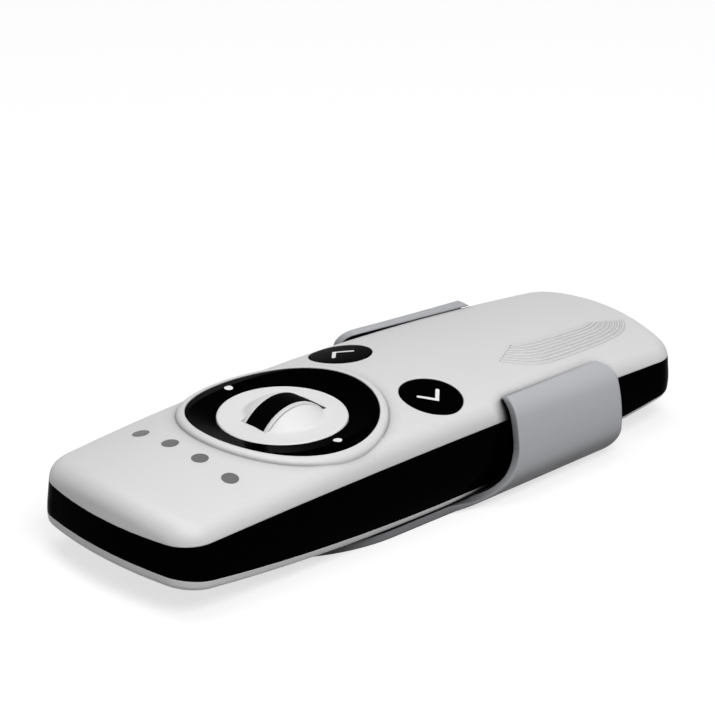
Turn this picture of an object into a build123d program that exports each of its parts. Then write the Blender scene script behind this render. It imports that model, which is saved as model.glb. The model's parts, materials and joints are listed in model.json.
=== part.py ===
"""Slim wireless remote control lying in its wall holder.

X runs across the remote, Y along it towards the holder end and Z up out of the face.
The origin is in the middle of the holder's flat back, and every size is in millimetres.
"""
import os
from math import asin, cos, degrees, hypot, sin, sqrt, tan

from build123d import *

os.makedirs("parts", exist_ok=True)

# Wall holder
holder_wall = 1.6
holder_far_y = 44.7
holder_root_y = -2.0
right_wing_y = 15.6
right_wing_round = 1.0
left_wing_y = 12.4
left_wing_round = 4.0
wing_slant = 14.0
wing_root_radius = 10.0
wing_far_low_round = 6.0
wing_far_top_round = 3.5
wing_corner_radius = 6.7
near_base_half = 18.77
near_upright = 2.16
near_side_radius = 40.0
near_side_turn = 13.0
near_lip_radius = 8.5
near_lip_turn = 28.8
far_base_half = 17.8
far_upright = 0.9
far_side_radius = 26.0
far_side_turn = 18.0
far_lip_radius = 5.5
far_lip_turn = 64.0
lip_taper = 1.1
lip_near_z = 21.9
lip_far_z = 19.5
tongue_half_width = 20.3
tongue_bend_y = -12.6
tongue_length = 28.5
mount_hole_radius = 1.9
mount_sink_radius = 2.8
mount_hole_y = 1.0
mount_hole_spacing = 58.0

# Body outline and form
seat_gap = 0.3
body_depth = 21.3
body_length = 135.1
near_half_width = 20.86
mid_half_width = 21.23
far_half_width = 19.07
end_radius = 71.5
corner_radius = 6.5
swell = 0.95
swell_level = 5.7
swell_up_lean = 4.5
swell_down_lean = 15.0
swell_round = 15.0
crown_across = 69.6
crown_along = 592.0
crown_apex_y = -10.65
crown_spread = 1.2
shoulder_radius = 4.2
belly_radius = 1.3
belly_rise = 4.5
seam_drop_near = 8.5
seam_drop_mid = 7.1
seam_drop_far = 9.7
band_rise_near = 6.7
band_rise_mid = 1.55
band_rise_far = 5.46
band_low_y = 4.7
shell_wall = 1.6
lip_wall = 0.9
lip_root = 0.8
lip_depth = 1.2
lip_clearance = 0.1
slack = 8.0

# Control ring, centre dish and thumb wheel
ring_y = -23.2
collar_rise = 0.9
collar_outer_radius = 20.3
collar_round = 1.5
opening_round = 0.3
ring_rise = 0.65
ring_outer_radius = 18.2
ring_inner_radius = 12.85
ring_clearance = 0.2
funnel_height = 3.0
funnel_slope_across = 0.1
funnel_slope_along = 0.336
ring_depth = 6.0
ring_roof = 3.4
ring_wall = 1.6
pivot_radius = 0.9
pivot_drop = 4.0
pivot_length = 2.2
pivot_block_length = 2.6
pivot_block_width = 4.4
pivot_mouth = 0.45
pivot_clearance = 0.05
ring_travel = 0.45
ring_dot_inset = 2.9
ring_dot_radius = 0.85
ring_dot_depth = 0.8
ring_post_radius = 1.4
ring_post_root = 0.5
dish_radius = 12.55
dish_drop = 1.45
dish_thickness = 1.5
dish_round = 0.4
dish_skirt_wall = 1.0
dish_skirt_depth = 7.15
dish_flange_reach = 1.05
dish_flange_height = 0.7
dish_travel = 0.5
dome_across = 10.5
dome_along = 9.9
dome_round = 1.5
wheel_radius = 9.7
wheel_drop = 7.95
wheel_y = 0.3
wheel_half_width = 3.3
wheel_round = 0.25
tread_half_width = 2.45
tread_depth = 1.3
rim_step = 0.1
slot_clearance = 0.4
cheek_clearance = 0.25
axle_radius = 1.0
axle_clearance = 0.06
cradle_wall = 1.3
cradle_length = 23.0
cradle_foot = 2.0
cradle_toe_width = 3.4
cradle_toe_reach = 3.4
cradle_toe_height = 1.5
encoder_width = 2.6
encoder_side = 5.0

# Channel buttons
button_x = 12.65
button_y = 3.57
button_radius = 6.03
button_clearance = 0.12
button_flange = 0.4
button_low = 17.75
button_stem_radius = 2.4
button_travel = 0.7
arrow_tip = 1.75
arrow_tail = 0.75
arrow_half_height = 2.5
arrow_stroke = 0.75
arrow_depth = 0.3

# Light row
light_pitch = 8.4
light_count = 4
light_inset = 20.0
light_radius = 1.62
pipe_radius = 1.2
pipe_head = 2.4
pipe_gap = 0.35
chip_length = 1.6
chip_width = 0.8
chip_height = 0.6
snug = 0.03

# Circuit board and what it carries
board_top = 12.0
board_thickness = 1.0
board_margin = 0.5
dish_switch_gap = 0.5
board_slot_width = 10.7
board_slot_length = 20.8
mat_thickness = 0.8
mat_width = 34.0
mat_length = 10.0
mat_dome_radius = 3.2
mat_dome_height = 0.8
mat_dome_wall = 0.6
switch_side = 3.4
switch_height = 1.2
ring_switch_height = 1.5
controller_side = 7.0
controller_height = 1.0
controller_inset = 41.85
radio_side = 5.0
radio_height = 0.9
radio_inset = 29.85
crystal_length = 4.5
crystal_width = 1.9
crystal_height = 1.3
crystal_x = 7.0
aerial_radius = 0.4
aerial_half_width = 10.0
aerial_near_inset = 23.85
aerial_far_inset = 9.85
aerial_bend = 3.0

# Screws that hold the housing
screw_x = 14.6
screw_near_inset = 14.85
screw_far_inset = 16.85
screw_shank_radius = 0.95
screw_head_radius = 2.0
screw_head_height = 1.3
screw_seat = 7.6
screw_bite = 4.5
screw_slot = 0.5
boss_radius = 2.6
boss_head_radius = 3.6
boss_head_wall = 1.5
head_clearance = 0.25
shank_clearance = 0.2
thread_clearance = 0.05

# Battery, its contacts and its turning cover
cell_radius = 12.25
cell_thickness = 3.0
cell_chamfer = 0.3
cell_clearance = 0.3
cell_gap = 0.05
battery_y = 4.7
cover_radius = 14.2
cover_recess = 0.45
cover_flange = 1.2
ledge_thickness = 0.5
cover_clearance = 0.15
cover_chamfer = 0.25
cover_slot_length = 14.0
cover_slot_width = 1.8
cover_slot_depth = 0.8
lug_reach = 1.1
lug_height = 0.6
lug_angle = 18.0
lug_clearance = 0.15
lug_count = 3
notch_angle = 24.0
cover_turn = 45.0
collar_wall = 1.3
collar_lid = 0.6
pocket_wall = 1.5
contact_thickness = 0.3
contact_width = 4.0
contact_reach = 6.0

# Programming button on the back
prog_inset = 20.85
prog_radius = 1.6
prog_clearance = 0.15
prog_recess = 0.5
prog_flange = 0.8
prog_flange_height = 0.6
prog_travel = 0.4
prog_lift = 0.4

# Levels and places that follow from the sizes above
half_length = body_length / 2
ring_dot_x = ring_outer_radius - ring_dot_inset
light_y = light_inset - half_length
prog_y = prog_inset - half_length
screw_near_y = screw_near_inset - half_length
screw_far_y = half_length - screw_far_inset
controller_y = half_length - controller_inset
radio_y = half_length - radio_inset
aerial_near_y = half_length - aerial_near_inset
aerial_far_y = half_length - aerial_far_inset
belly_low = holder_wall + seat_gap
crown_top = belly_low + body_depth
board_low = board_top - board_thickness
axle_half_length = wheel_half_width + cheek_clearance + cradle_wall
ring_post_low = board_top + ring_switch_height + ring_travel
toe_low = board_top + switch_height + dish_travel
dish_switch_y = ring_y + cradle_length / 2 + dish_switch_gap + switch_side / 2
cradle_half_width = axle_half_length + cheek_clearance
stem_low = board_top + mat_thickness + mat_dome_height + button_travel
light_low = board_top + chip_height + pipe_gap
sides = (-1, 1)
end_corners = [(side, y) for side in sides for y in (screw_near_y, screw_far_y)]
light_row = [light_pitch * (index - (light_count - 1) / 2) for index in range(light_count)]
crown_reach = (body_length + slack) / 2 / crown_along * crown_spread
wing_reach = near_base_half + wing_corner_radius
plug_radius = cover_radius - lug_reach - lug_clearance
cover_low = belly_low + cover_recess
ledge_low = cover_low + cover_flange
ledge_top = ledge_low + ledge_thickness
lug_low = ledge_top + lug_clearance
cover_top = lug_low + lug_height
channel_top = cover_top + lug_clearance
cell_low = cover_top + cell_gap
cell_top = cell_low + cell_thickness
pocket_radius = cell_radius + cell_clearance


def crown_height(x, y):
    """Height of the crowned face over a point of the plan."""
    across = crown_across - sqrt(crown_across**2 - x**2)
    return crown_top - crown_along + sqrt((crown_along - across) ** 2 - (y - crown_apex_y) ** 2)


def belly_height(y):
    """Height of the underside at a distance along the body."""
    belly_along = (half_length**2 + belly_rise**2) / (2 * belly_rise)
    return belly_low + belly_along - sqrt(belly_along**2 - y**2)


def long_arc(near_z, mid_y, mid_z, far_z):
    """Three points of a side-view arc, carried on past both ends of the body."""
    reach = half_length + slack
    near = mid_z + (near_z - mid_z) * ((reach + mid_y) / (half_length + mid_y)) ** 2
    far = mid_z + (far_z - mid_z) * ((reach - mid_y) / (half_length - mid_y)) ** 2
    return (-reach, near), (mid_y, mid_z), (reach, far)


seam_line = long_arc(
    crown_top - seam_drop_near, crown_apex_y, crown_top - seam_drop_mid, crown_top - seam_drop_far
)
band_line = long_arc(
    belly_low + band_rise_near, band_low_y, belly_low + band_rise_mid, belly_low + band_rise_far
)
sky_line = long_arc(crown_top + slack, 0, crown_top + slack, crown_top + slack + 1)
ground_line = long_arc(-slack, 0, -slack, -slack - 1)


def mouth(piece, x, y, radius):
    """Edges of a piece where a round opening meets its crowned face."""

    def on_mouth(edge):
        spot = edge @ 0
        level = crown_height(spot.X, spot.Y) - shell_wall / 2
        return abs(hypot(spot.X - x, spot.Y - y) - radius) < lip_clearance and spot.Z > level

    return piece.edges().filter_by(on_mouth)


def slab(low, high):
    """Everything between two side-view arcs, right across the body."""
    with BuildPart() as zone:
        with BuildSketch(Plane.YZ):
            with BuildLine():
                upper = ThreePointArc(*high)
                lower = ThreePointArc(*low)
                Line(upper @ 0, lower @ 0)
                Line(upper @ 1, lower @ 1)
            make_face()
        extrude(amount=mid_half_width + slack, both=True)
    return zone.part


def crown(inset):
    """Everything under the crowned face, moved in by the inset."""
    across = crown_across - inset
    half = mid_half_width + slack
    lean = asin(half / across)
    top = crown_along - inset
    side = top - across + across * cos(lean)
    foot = crown_along - crown_top - slack
    start = Plane(
        origin=(0, crown_apex_y, crown_top - crown_along),
        x_dir=(1, 0, 0),
        z_dir=(0, -cos(crown_reach), sin(crown_reach)),
    )
    with BuildPart() as cap:
        with BuildSketch(start):
            with BuildLine():
                Bezier(
                    (-half, side), (0, side + half * tan(lean)), (half, side), weights=[1, cos(lean), 1]
                )
                Polyline((half, side), (half, foot), (-half, foot), (-half, side))
            make_face()
        revolve(axis=Axis(start.origin, start.x_dir), revolution_arc=2 * degrees(crown_reach))
    return cap.part


def body_plan(inset):
    """Outline of the body seen from the front, moved in by the inset."""
    near, middle, far = near_half_width - inset, mid_half_width - inset, far_half_width - inset
    centre = half_length - end_radius
    near_y = centre + sqrt((end_radius - inset) ** 2 - near**2)
    far_y = centre + sqrt((end_radius - inset) ** 2 - far**2)
    end_y = half_length - inset
    with BuildSketch() as plan:
        with BuildLine():
            ThreePointArc((-near, -near_y), (0, -end_y), (near, -near_y))
            ThreePointArc((near, -near_y), (middle, 0), (far, far_y))
            ThreePointArc((far, far_y), (0, end_y), (-far, far_y))
            ThreePointArc((-far, far_y), (-middle, 0), (-near, -near_y))
        make_face()
        fillet(plan.vertices(), radius=corner_radius - inset)
    return plan.sketch


def body_form(inset, swollen=False):
    """The closed form of the body, moved in by the inset; swollen sides bow out to the band's foot."""
    belly_line = long_arc(belly_low + belly_rise, 0, belly_low, belly_low + belly_rise)
    raised = [(y, z + inset) for y, z in belly_line]
    widest = belly_low + swell_level
    with BuildPart() as form:
        if swollen:
            with BuildSketch(Plane.XY.offset(widest)):
                add(body_plan(inset - swell))
            extrude(amount=crown_top + slack - widest, taper=swell_up_lean)
            with BuildSketch(Plane.XY.offset(widest)):
                add(body_plan(inset - swell))
            extrude(amount=-widest, taper=swell_down_lean)
            crease = form.edges().filter_by_position(Axis.Z, widest - snug, widest + snug)
            fillet(crease, radius=swell_round)
        else:
            with BuildSketch():
                add(body_plan(inset))
            extrude(amount=crown_top + slack)
        add(slab(raised, sky_line), mode=Mode.INTERSECT)
        add(crown(inset), mode=Mode.INTERSECT)
        fillet(form.faces().sort_by(Axis.Z)[-1].edges(), radius=shoulder_radius - inset)
        if swollen:
            fillet(form.faces().sort_by(Axis.Z)[0].edges(), radius=belly_radius)
    return form.part


body_outer = body_form(0, swollen=True)
body_inner = body_form(shell_wall)
ring_slope_turn = asin((ring_y - crown_apex_y) / crown_along)
ring_plane = Plane(
    origin=(0, ring_y, crown_height(0, ring_y)),
    x_dir=(1, 0, 0),
    z_dir=(0, sin(ring_slope_turn), cos(ring_slope_turn)),
)
wheel_plane = Plane(origin=ring_plane.origin, x_dir=ring_plane.y_dir, z_dir=(1, 0, 0))
pivot_plane = Plane(
    origin=ring_plane.from_local_coords((0, 0, -pivot_drop)), x_dir=(1, 0, 0), z_dir=ring_plane.y_dir
)

# Wall holder: a clip whose section is lofted from its root to its far end, on a long tongue


def clip_section(y, base_half, upright_length, side_radius, side_turn, lip_radius, lip_turn):
    """One half cross-section of the clip, drawn in its own upright plane."""
    with BuildSketch(Plane.XZ.offset(-y)) as section:
        with BuildLine():
            floor = Line((0, 0), (base_half, 0))
            corner = JernArc(floor @ 1, floor % 1, wing_corner_radius, 90)
            upright = Line(corner @ 1, (corner @ 1) + (corner % 1) * upright_length)
            side = JernArc(upright @ 1, upright % 1, side_radius, side_turn)
            lip = JernArc(side @ 1, side % 1, lip_radius, lip_turn)
            bed = Line((0, holder_wall), (base_half, holder_wall))
            inner_corner = JernArc(bed @ 1, bed % 1, wing_corner_radius - holder_wall, 90)
            rise = Line(inner_corner @ 1, (inner_corner @ 1) + (inner_corner % 1) * upright_length)
            inner_side = JernArc(rise @ 1, rise % 1, side_radius - holder_wall, side_turn)
            lip_inner_radius = lip_radius - holder_wall + lip_taper
            inner_lip = JernArc(inner_side @ 1, inner_side % 1, lip_inner_radius, lip_turn)
            Line(lip @ 1, inner_lip @ 1)
            Line(floor @ 0, bed @ 0)
        make_face()
    return section.sketch


def clip_half(near_y, near_round):
    """One half of the clip, with rounded corners in side view and a slant down into the tongue."""
    root_y = near_y - wing_slant
    lip_fall = (lip_near_z - lip_far_z) / (holder_far_y - holder_root_y)
    with BuildPart() as half:
        add(clip_section(
            holder_root_y,
            near_base_half,
            near_upright,
            near_side_radius,
            near_side_turn,
            near_lip_radius,
            near_lip_turn,
        ))
        add(clip_section(
            holder_far_y,
            far_base_half,
            far_upright,
            far_side_radius,
            far_side_turn,
            far_lip_radius,
            far_lip_turn,
        ))
        loft(ruled=True)
        near_top = (near_y, lip_near_z - lip_fall * (near_y - holder_root_y))
        far_top = (holder_far_y, lip_far_z)
        with BuildSketch(Plane.YZ) as side_view:
            Polygon(
                (holder_root_y - slack, 0),
                (holder_far_y, 0),
                far_top,
                near_top,
                (near_y, holder_wall),
                (holder_root_y - slack, holder_wall),
                align=None,
            )
            for corner, radius in (
                ((holder_far_y, 0), wing_far_low_round),
                (far_top, wing_far_top_round),
                (near_top, near_round),
                ((near_y, holder_wall), wing_root_radius),
            ):
                fillet(side_view.vertices().sort_by_distance((*corner, 0))[0], radius=radius)
        extrude(amount=mid_half_width + slack, both=True, mode=Mode.INTERSECT)
        with BuildSketch():
            Polygon(
                (tongue_half_width, root_y - slack),
                (tongue_half_width, root_y),
                (wing_reach, near_y),
                (wing_reach + slack, near_y),
                (wing_reach + slack, root_y - slack),
                align=None,
            )
        extrude(amount=crown_top, mode=Mode.SUBTRACT)
    return half.part


with BuildPart() as wall_holder:
    add(clip_half(left_wing_y, left_wing_round))
    mirror(about=Plane.YZ, mode=Mode.REPLACE)
    add(clip_half(right_wing_y, right_wing_round))
    with BuildSketch():
        with Locations((0, tongue_bend_y)):
            Ellipse(tongue_half_width, tongue_length)
        with Locations((0, tongue_bend_y)):
            Rectangle(
                2 * tongue_half_width, left_wing_y - tongue_bend_y, align=(Align.CENTER, Align.MIN)
            )
        with Locations((0, left_wing_y)):
            Rectangle(
                2 * tongue_half_width,
                tongue_length,
                align=(Align.CENTER, Align.MIN),
                mode=Mode.SUBTRACT,
            )
    extrude(amount=holder_wall)
    with Locations((0, mount_hole_y, holder_wall)):
        with GridLocations(0, mount_hole_spacing, 1, 2):
            CounterSinkHole(mount_hole_radius, mount_sink_radius)
wall_holder.part.label = "wall_holder"
export_step(wall_holder.part, "parts/wall_holder.step")

# Top shell: crowned, with a round collar, and open for the keys, the ring and the light row


def post(plane, radius, low, high):
    """A round post standing on a plane, between two heights over it."""
    with BuildPart() as piece:
        with BuildSketch(plane.offset(low)):
            Circle(radius)
        extrude(amount=high - low)
    return piece.part


def shifted(line, rise):
    """A side-view arc moved up or down."""
    return [(y, z + rise) for y, z in line]


def rail(line, up, down):
    """The inner edge of a shell that locates it inside the band, along one seam line."""
    side = 1 if up > down else -1
    with BuildPart() as edge:
        with BuildSketch():
            add(body_plan(shell_wall + lip_clearance))
            add(body_plan(shell_wall + lip_wall), mode=Mode.SUBTRACT)
        extrude(amount=crown_top)
        add(slab(shifted(line, -down), shifted(line, up)), mode=Mode.INTERSECT)
    with BuildPart() as root_edge:
        with BuildSketch():
            add(body_plan(shell_wall - lip_clearance))
            add(body_plan(shell_wall + lip_wall), mode=Mode.SUBTRACT)
        extrude(amount=crown_top)
        low = shifted(line, min(0, -side * lip_root))
        high = shifted(line, max(0, -side * lip_root))
        add(slab(low, high), mode=Mode.INTERSECT)
    return edge.part + root_edge.part


with BuildPart() as collar:
    with BuildSketch(ring_plane.offset(-ring_depth)):
        Circle(collar_outer_radius)
    extrude(amount=ring_depth + slack)
    add(crown(-collar_rise), mode=Mode.INTERSECT)
    fillet(collar.faces().sort_by(Axis.Z)[-1].edges(), radius=collar_round)
with BuildPart() as top_shell:
    add(body_outer)
    add(slab(seam_line, sky_line), mode=Mode.INTERSECT)
    add(collar.part)
    add(body_inner, mode=Mode.SUBTRACT)
    add(rail(seam_line, lip_root / 2, lip_depth))
    for side, y in end_corners:
        with BuildSketch(Plane.XY.offset(board_top)):
            with Locations((side * screw_x, y)):
                Circle(boss_radius)
        extrude(amount=crown_height(screw_x, y) - shell_wall / 2 - board_top)
    # Two blocks under the roof clip round the ring's pins
    with BuildSketch(ring_plane.offset(-pivot_drop - pivot_mouth)):
        Rectangle(pivot_block_width, 2 * (ring_outer_radius + pivot_block_length))
        Circle(ring_outer_radius, mode=Mode.SUBTRACT)
    extrude(amount=pivot_drop + pivot_mouth - shell_wall / 2)
    add(post(ring_plane, ring_outer_radius + ring_clearance, -slack, slack), mode=Mode.SUBTRACT)
    with BuildSketch(pivot_plane):
        Circle(pivot_radius + pivot_clearance)
    extrude(amount=ring_outer_radius + slack, both=True, mode=Mode.SUBTRACT)
    with BuildSketch(Plane.XY.offset(board_top)):
        with Locations(*[(side * button_x, button_y) for side in sides]):
            Circle(button_radius + button_clearance)
        with Locations(*[(x, light_y) for x in light_row]):
            Circle(light_radius + snug)
    extrude(amount=crown_top, mode=Mode.SUBTRACT)
    fillet(mouth(top_shell, 0, ring_y, ring_outer_radius + ring_clearance), radius=opening_round)
    for side in sides:
        rim = mouth(top_shell, side * button_x, button_y, button_radius + button_clearance)
        fillet(rim, radius=opening_round)
    with BuildSketch(Plane.XY.offset(board_top)):
        with Locations(*[(side * screw_x, y) for side, y in end_corners]):
            Circle(screw_shank_radius + thread_clearance)
    extrude(amount=screw_bite + shank_clearance, mode=Mode.SUBTRACT)
top_shell.part.label = "top_shell"
export_step(top_shell.part, "parts/top_shell.step")

# Side band between the two shells
with BuildPart() as side_band:
    add(body_outer)
    with BuildSketch():
        add(body_plan(shell_wall))
    extrude(amount=crown_top + slack, mode=Mode.SUBTRACT)
    add(slab(band_line, seam_line), mode=Mode.INTERSECT)
side_band.part.label = "side_band"
export_step(side_band.part, "parts/side_band.step")

# Bottom shell: screw bosses, and a round battery pocket with a ledge for the cover's lugs
with BuildPart() as bottom_shell:
    add(body_outer)
    add(slab(ground_line, band_line), mode=Mode.INTERSECT)
    add(body_inner, mode=Mode.SUBTRACT)
    add(rail(band_line, lip_depth, lip_root / 2))
    for side, y in end_corners:
        with BuildSketch(Plane.XY.offset(belly_height(y) + shell_wall / 2)):
            with Locations((side * screw_x, y)):
                Circle(boss_head_radius)
        extrude(amount=screw_seat + boss_head_wall - belly_height(y) - shell_wall / 2)
        with BuildSketch(Plane.XY.offset(screw_seat)):
            with Locations((side * screw_x, y)):
                Circle(boss_radius)
        extrude(amount=board_low - screw_seat)
    with BuildSketch(Plane.XY.offset(belly_low + shell_wall / 2)):
        with Locations((0, battery_y)):
            Circle(cover_radius + cover_clearance + collar_wall)
    extrude(amount=channel_top + collar_lid - belly_low - shell_wall / 2)
    with BuildSketch(Plane.XY.offset(channel_top)):
        with Locations((0, battery_y)):
            Circle(pocket_radius + pocket_wall)
    extrude(amount=cell_top - channel_top)
    # The cover's seat, the ledge behind it, the lugs' channel and the pocket
    with BuildSketch():
        with Locations((0, battery_y)):
            Circle(cover_radius + cover_clearance)
    extrude(amount=ledge_low, mode=Mode.SUBTRACT)
    with BuildSketch(Plane(origin=(0, battery_y, cover_low))):
        Circle(plug_radius + cover_clearance)
        for index in range(lug_count):
            start = 360 / lug_count * index + cover_turn - notch_angle / 2
            with BuildLine():
                spoke = PolarLine((0, 0), cover_radius + cover_clearance, start)
                rim = CenterArc((0, 0), cover_radius + cover_clearance, start, notch_angle)
                Line(rim @ 1, spoke @ 0)
            make_face()
    extrude(amount=channel_top - cover_low, mode=Mode.SUBTRACT)
    with BuildSketch(Plane.XY.offset(ledge_top)):
        with Locations((0, battery_y)):
            Circle(cover_radius + cover_clearance)
    extrude(amount=channel_top - ledge_top, mode=Mode.SUBTRACT)
    with BuildSketch():
        with Locations((0, battery_y)):
            Circle(pocket_radius)
        with Locations((0, battery_y + cell_radius)):
            Rectangle(contact_width + 2 * cell_clearance, 2 * (pocket_wall + cell_clearance))
    extrude(amount=cell_top + slack, mode=Mode.SUBTRACT)
    with BuildSketch():
        with Locations(*[(side * screw_x, y) for side, y in end_corners]):
            Circle(screw_head_radius + head_clearance)
    extrude(amount=screw_seat, mode=Mode.SUBTRACT)
    with BuildSketch():
        with Locations(*[(side * screw_x, y) for side, y in end_corners]):
            Circle(screw_shank_radius + shank_clearance)
        with Locations((0, prog_y)):
            Circle(prog_radius + prog_clearance)
    extrude(amount=board_low, mode=Mode.SUBTRACT)
bottom_shell.part.label = "bottom_shell"
export_step(bottom_shell.part, "parts/bottom_shell.step")

# Battery cover: a plug with three lugs behind a flat disc that has a coin slot
with BuildPart() as battery_cover:
    with BuildSketch(Plane.XY.offset(cover_low)):
        with Locations((0, battery_y)):
            Circle(cover_radius)
    extrude(amount=cover_flange)
    chamfer(battery_cover.faces().sort_by(Axis.Z)[0].edges(), length=cover_chamfer)
    with BuildSketch(Plane.XY.offset(ledge_low)):
        with Locations((0, battery_y)):
            Circle(plug_radius)
    extrude(amount=cover_top - ledge_low)
    with BuildSketch(Plane(origin=(0, battery_y, lug_low))):
        for index in range(lug_count):
            start = 360 / lug_count * index - lug_angle / 2
            with BuildLine():
                spoke = PolarLine((0, 0), cover_radius, start)
                rim = CenterArc((0, 0), cover_radius, start, lug_angle)
                Line(rim @ 1, spoke @ 0)
            make_face()
    extrude(amount=lug_height)
    with BuildSketch(Plane.XY.offset(cover_low)):
        with Locations((0, battery_y)):
            SlotOverall(cover_slot_length, cover_slot_width)
    extrude(amount=cover_slot_depth, mode=Mode.SUBTRACT)
battery_cover.part.label = "battery_cover"
export_step(battery_cover.part, "parts/battery_cover.step")

# Coin cell and its two contacts
with BuildPart() as coin_cell:
    with BuildSketch(Plane.XY.offset(cell_low)):
        with Locations((0, battery_y)):
            Circle(cell_radius)
    extrude(amount=cell_thickness)
    chamfer(coin_cell.faces().sort_by(Axis.Z)[-1].edges(), length=cell_chamfer)
coin_cell.part.label = "coin_cell"
export_step(coin_cell.part, "parts/coin_cell.step")
with BuildPart() as battery_contact_minus:
    with BuildSketch(Plane.YZ):
        with BuildLine() as leaf:
            Polyline(
                (battery_y - contact_reach - contact_width, board_low - contact_thickness / 2),
                (battery_y - contact_reach, board_low - contact_thickness / 2),
                (battery_y, cell_top + contact_thickness / 2),
                (battery_y + contact_width / 2, cell_top + contact_thickness / 2),
            )
        trace(leaf.line, line_width=contact_thickness)
    extrude(amount=contact_width / 2, both=True)
battery_contact_minus.part.label = "battery_contact_minus"
export_step(battery_contact_minus.part, "parts/battery_contact_minus.step")
with BuildPart() as battery_contact_plus:
    with BuildSketch(Plane.XY.offset(channel_top)):
        with Locations((0, battery_y + cell_radius + cell_gap)):
            Rectangle(contact_width, contact_thickness, align=(Align.CENTER, Align.MIN))
    extrude(amount=board_low - channel_top)
battery_contact_plus.part.label = "battery_contact_plus"
export_step(battery_contact_plus.part, "parts/battery_contact_plus.step")

# Control ring: its black face slopes down to the dish, and it rocks on a near and a far pin
with BuildPart() as ring_funnel:
    with BuildSketch(ring_plane.offset(-dish_drop)):
        Circle(ring_inner_radius)
    with BuildSketch(ring_plane.offset(funnel_height - dish_drop)):
        Ellipse(
            ring_inner_radius + funnel_height / funnel_slope_across,
            ring_inner_radius + funnel_height / funnel_slope_along,
        )
    loft()
with BuildPart() as ring_blank:
    with BuildSketch(ring_plane.offset(-ring_depth)):
        Circle(ring_outer_radius)
        Circle(ring_inner_radius, mode=Mode.SUBTRACT)
    extrude(amount=ring_depth + funnel_height - dish_drop)
    add(crown(-ring_rise), mode=Mode.INTERSECT)
    add(ring_funnel.part, mode=Mode.SUBTRACT)
with BuildPart() as pivot_pins:
    with BuildSketch(pivot_plane):
        Circle(pivot_radius)
    extrude(amount=ring_outer_radius + pivot_length, both=True)
    add(post(ring_plane, ring_outer_radius - ring_wall / 2, -slack, slack), mode=Mode.SUBTRACT)
with BuildPart() as control_ring:
    add(ring_blank.part)
    with BuildSketch(ring_plane.offset(-ring_depth)):
        Circle(ring_outer_radius - ring_wall)
        Circle(ring_inner_radius + ring_wall, mode=Mode.SUBTRACT)
    extrude(amount=ring_depth - ring_roof, mode=Mode.SUBTRACT)
    add(pivot_pins.part)
    with BuildSketch(Plane.XY.offset(ring_post_low)):
        with Locations(*[(side * ring_dot_x, ring_y) for side in sides]):
            Circle(ring_post_radius)
    extrude(amount=ring_plane.origin.Z - ring_roof + ring_post_root - ring_post_low)
    with BuildSketch(ring_plane.offset(-ring_dot_depth - dish_drop)):
        with Locations(*[(side * ring_dot_x, 0) for side in sides]):
            Circle(ring_dot_radius + snug)
    extrude(amount=slack, mode=Mode.SUBTRACT)
control_ring.part.label = "control_ring"
export_step(control_ring.part, "parts/control_ring.step")
for name, side in (("ring_dot_left", -1), ("ring_dot_right", 1)):
    with BuildPart() as ring_dot:
        with BuildSketch(ring_plane.offset(-ring_dot_depth - dish_drop)):
            with Locations((side * ring_dot_x, 0)):
                Circle(ring_dot_radius)
        extrude(amount=slack)
        add(ring_blank.part, mode=Mode.INTERSECT)
    ring_dot.part.label = name
    export_step(ring_dot.part, f"parts/{name}.step")

# Centre dish: a disc with a soft dome over the wheel, on a skirt that a flange keeps under the ring
axle_plane = Plane(
    origin=wheel_plane.from_local_coords((wheel_y, -wheel_drop, 0)), x_dir=(1, 0, 0), z_dir=-ring_plane.y_dir
)
with BuildPart() as dome:
    with BuildSketch(axle_plane):
        Ellipse(dome_across, dome_along)
        Rectangle(
            2 * dome_across, dome_along, align=(Align.CENTER, Align.MAX), mode=Mode.SUBTRACT
        )
    revolve(axis=Axis(axle_plane.origin, axle_plane.x_dir))
    add(post(ring_plane, dish_radius, -dish_drop - dish_thickness / 2, slack), mode=Mode.INTERSECT)
with BuildPart() as centre_dish:
    with BuildSketch(ring_plane.offset(-dish_drop)):
        Circle(dish_radius)
    extrude(amount=dish_drop - dish_skirt_depth)
    fillet(centre_dish.faces().sort_by(Axis.Z)[-1].edges(), radius=dish_round)
    with BuildSketch(ring_plane.offset(-dish_skirt_depth)):
        Circle(dish_radius + dish_flange_reach)
    extrude(amount=dish_flange_height)
    with BuildSketch(ring_plane.offset(-dish_skirt_depth)):
        Circle(dish_radius - dish_skirt_wall)
        Rectangle(2 * cradle_half_width, cradle_length + slack)
    extrude(amount=dish_skirt_depth - dish_drop - dish_thickness, mode=Mode.SUBTRACT)
    add(dome.part)
    fillet(centre_dish.edges(Select.LAST), radius=dome_round)
    with BuildSketch(wheel_plane):
        with Locations((wheel_y, -wheel_drop)):
            Circle(wheel_radius + slot_clearance)
    extrude(amount=wheel_half_width + cheek_clearance, both=True, mode=Mode.SUBTRACT)
centre_dish.part.label = "centre_dish"
export_step(centre_dish.part, "parts/centre_dish.step")

# Wheel cradle under the dish: two cheeks, two end walls and a toe that presses the dish switch
with BuildPart() as wheel_cradle:
    with BuildSketch(ring_plane.offset(-dish_drop - dish_thickness)):
        Rectangle(2 * axle_half_length, cradle_length)
        Rectangle(
            2 * (wheel_half_width + cheek_clearance), cradle_length - 2 * cradle_wall, mode=Mode.SUBTRACT
        )
    extrude(amount=-wheel_drop - cradle_foot + dish_drop + dish_thickness)
    with BuildSketch(Plane.XY.offset(toe_low)):
        with Locations((0, ring_y + cradle_length / 2 - cradle_wall / 2)):
            Rectangle(cradle_toe_width, cradle_toe_reach, align=(Align.CENTER, Align.MIN))
    extrude(amount=cradle_toe_height)
    with BuildSketch(wheel_plane):
        with Locations((wheel_y, -wheel_drop)):
            Circle(axle_radius + snug)
    extrude(amount=axle_half_length, both=True, mode=Mode.SUBTRACT)
wheel_cradle.part.label = "wheel_cradle"
export_step(wheel_cradle.part, "parts/wheel_cradle.step")

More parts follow.
